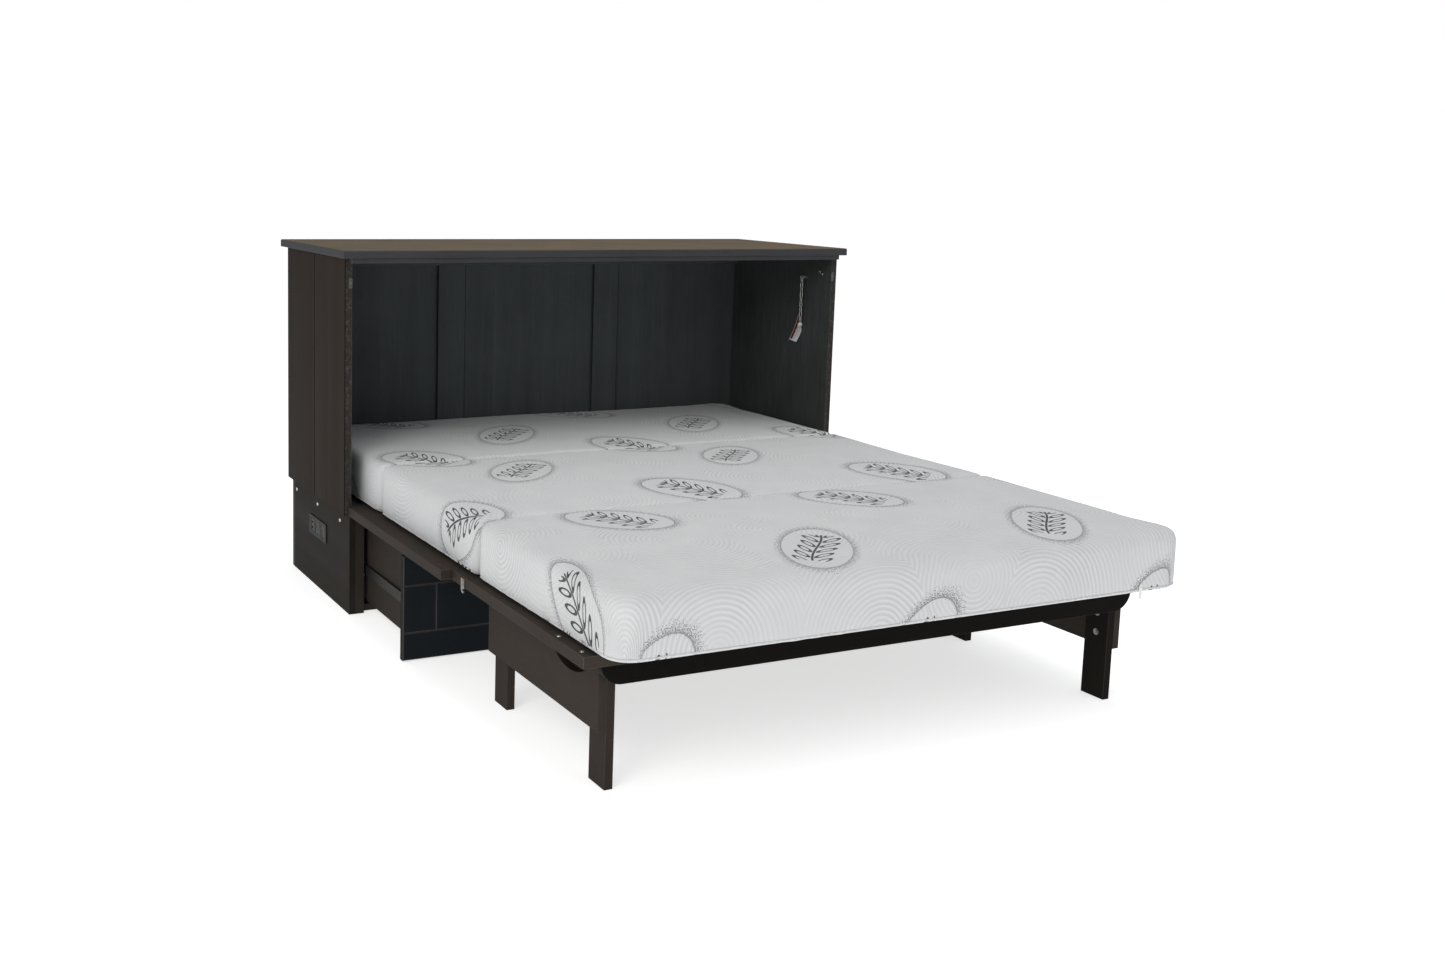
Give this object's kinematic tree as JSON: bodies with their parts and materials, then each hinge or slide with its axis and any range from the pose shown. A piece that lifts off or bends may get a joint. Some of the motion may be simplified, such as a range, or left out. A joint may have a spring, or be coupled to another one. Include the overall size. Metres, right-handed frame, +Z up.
{
  "type": "cabinet wall bed",
  "caption": "Low cabinet wall bed, open: front panel and foot deck folded out on leg frames under a folding mattress, with a storage drawer in the base.",
  "frame": {"origin": "centre of the open bed's footprint, on the floor", "axes": "+Z up, +Y towards the wall that the cabinet's back stands against, the foot of the bed towards -Y, +X to the right seen from the foot"},
  "size_m": [1.652, 2.052, 1.016],
  "materials": {
    "stained_wood": "dark satin stain over a fine straight grain",
    "carcass_wood": "plain sanded timber",
    "panel_board": "dark matt board",
    "outlet_plastic": "black moulded plastic",
    "mattress_cover": "quilted off-white knit",
    "zipper_pull": "white moulded plastic",
    "paper_tag": "coated card with a dark red band",
    "clip_plastic": "white moulded plastic",
    "bright_steel": "bright plated steel",
    "zinc_steel": "zinc-plated steel"
  },
  "bodies": {
    "cabinet": {"top_panel": "stained_wood", "top_header": "stained_wood", "left_side_front": "stained_wood", "left_side_rear": "stained_wood", "right_side_front": "stained_wood", "right_side_rear": "stained_wood", "back_panels": "panel_board", "back_battens": "stained_wood", "back_top_rail": "stained_wood", "case_floor": "panel_board", "floor_bearers": "carcass_wood", "base_sides": "stained_wood", "base_front_posts": "stained_wood", "base_back": "stained_wood", "base_front_rail": "stained_wood", "base_stretcher": "stained_wood", "case_screws": "bright_steel", "outlet_plate": "outlet_plastic", "outlet_sockets": "outlet_plastic", "outlet_box": "outlet_plastic", "catches": "bright_steel", "chain_anchor": "bright_steel", "panel_hinge_brackets": "zinc_steel", "panel_hinge_pins": "zinc_steel", "runner_packers": "carcass_wood", "runner_channels": "zinc_steel"},
    "front_panel": {"front_panel_deck": "stained_wood", "front_panel_rails": "stained_wood", "front_panel_fields": "stained_wood", "fold_hinge_panel_leaves": "zinc_steel", "fold_hinge_pins": "zinc_steel"},
    "foot_deck": {"foot_deck": "stained_wood", "front_rail": "stained_wood", "fold_hinge_foot_leaves": "zinc_steel", "deck_screws": "bright_steel", "side_hooks": "zinc_steel", "leg_hinge_plates": "zinc_steel", "leg_hinge_pins": "zinc_steel"},
    "left_leg_frame": {"left_apron": "stained_wood", "left_legs": "stained_wood", "left_leg_bolts": "zinc_steel", "left_leg_hinges": "zinc_steel"},
    "right_leg_frame": {"right_apron": "stained_wood", "right_legs": "stained_wood", "right_leg_bolts": "zinc_steel", "right_leg_hinges": "zinc_steel"},
    "drawer": {"drawer_front": "stained_wood", "drawer_front_rails": "stained_wood", "drawer_front_stiles": "stained_wood", "drawer_sides": "stained_wood", "drawer_back": "carcass_wood", "drawer_bottom": "panel_board", "drawer_slides": "zinc_steel"},
    "mattress_back": {"mattress_back": "mattress_cover"},
    "mattress_middle": {"mattress_middle": "mattress_cover"},
    "mattress_front": {"mattress_front": "mattress_cover", "zipper_pull": "zipper_pull"},
    "chain": {"chain_links": "bright_steel", "chain_clip": "clip_plastic", "chain_tag": "paper_tag"}
  },
  "joints": [
    {"name": "front_panel_fold", "type": "hinge", "parent": "cabinet", "child": "front_panel", "pos_m": [0, 0.4185, 0.2955], "axis": [-1, 0, 0], "range_deg": [0, 87], "deforming": ["mattress_back"]},
    {"name": "foot_deck_fold", "type": "hinge", "parent": "front_panel", "child": "foot_deck", "pos_m": [0, -0.264, 0.309], "axis": [-1, 0, 0], "range_deg": [0, 180], "deforming": ["mattress_middle", "mattress_front"]},
    {"name": "left_leg_fold", "type": "hinge", "parent": "foot_deck", "child": "left_leg_frame", "pos_m": [-0.668, -0.65, 0.281], "axis": [0, -1, 0], "range_deg": [0, 90]},
    {"name": "right_leg_fold", "type": "hinge", "parent": "foot_deck", "child": "right_leg_frame", "pos_m": [0.668, -0.65, 0.281], "axis": [0, 1, 0], "range_deg": [0, 90]},
    {"name": "drawer_slide", "type": "slide", "parent": "cabinet", "child": "drawer", "axis": [0, -1, 0], "range_m": [-0.414, 0.05]},
    {"name": "mattress_back_fold", "type": "hinge", "parent": "cabinet", "child": "mattress_back", "pos_m": [0, 0.90375, 0.37725], "axis": [-1, 0, 0], "range_deg": [0, 90]},
    {"name": "mattress_middle_fold", "type": "hinge", "parent": "mattress_back", "child": "mattress_middle", "pos_m": [0, 0.3115, 0.311], "axis": [-1, 0, 0], "range_deg": [-180, 0]},
    {"name": "mattress_front_fold", "type": "hinge", "parent": "mattress_middle", "child": "mattress_front", "pos_m": [0, -0.3565, 0.452], "axis": [-1, 0, 0], "range_deg": [0, 180]},
    {"name": "chain_swing", "type": "hinge", "parent": "cabinet", "child": "chain", "pos_m": [0.779, 0.569, 0.909], "axis": [1, 0, 0], "range_deg": [-20, 20]}
  ],
  "couplings": [
    {"joint": "left_leg_fold", "follows": "foot_deck_fold", "ratio": 0.5},
    {"joint": "right_leg_fold", "follows": "foot_deck_fold", "ratio": 0.5},
    {"joint": "mattress_back_fold", "follows": "front_panel_fold", "ratio": 1.0345},
    {"joint": "mattress_middle_fold", "follows": "front_panel_fold", "ratio": -2.069},
    {"joint": "mattress_front_fold", "follows": "front_panel_fold", "ratio": 2.069}
  ]
}
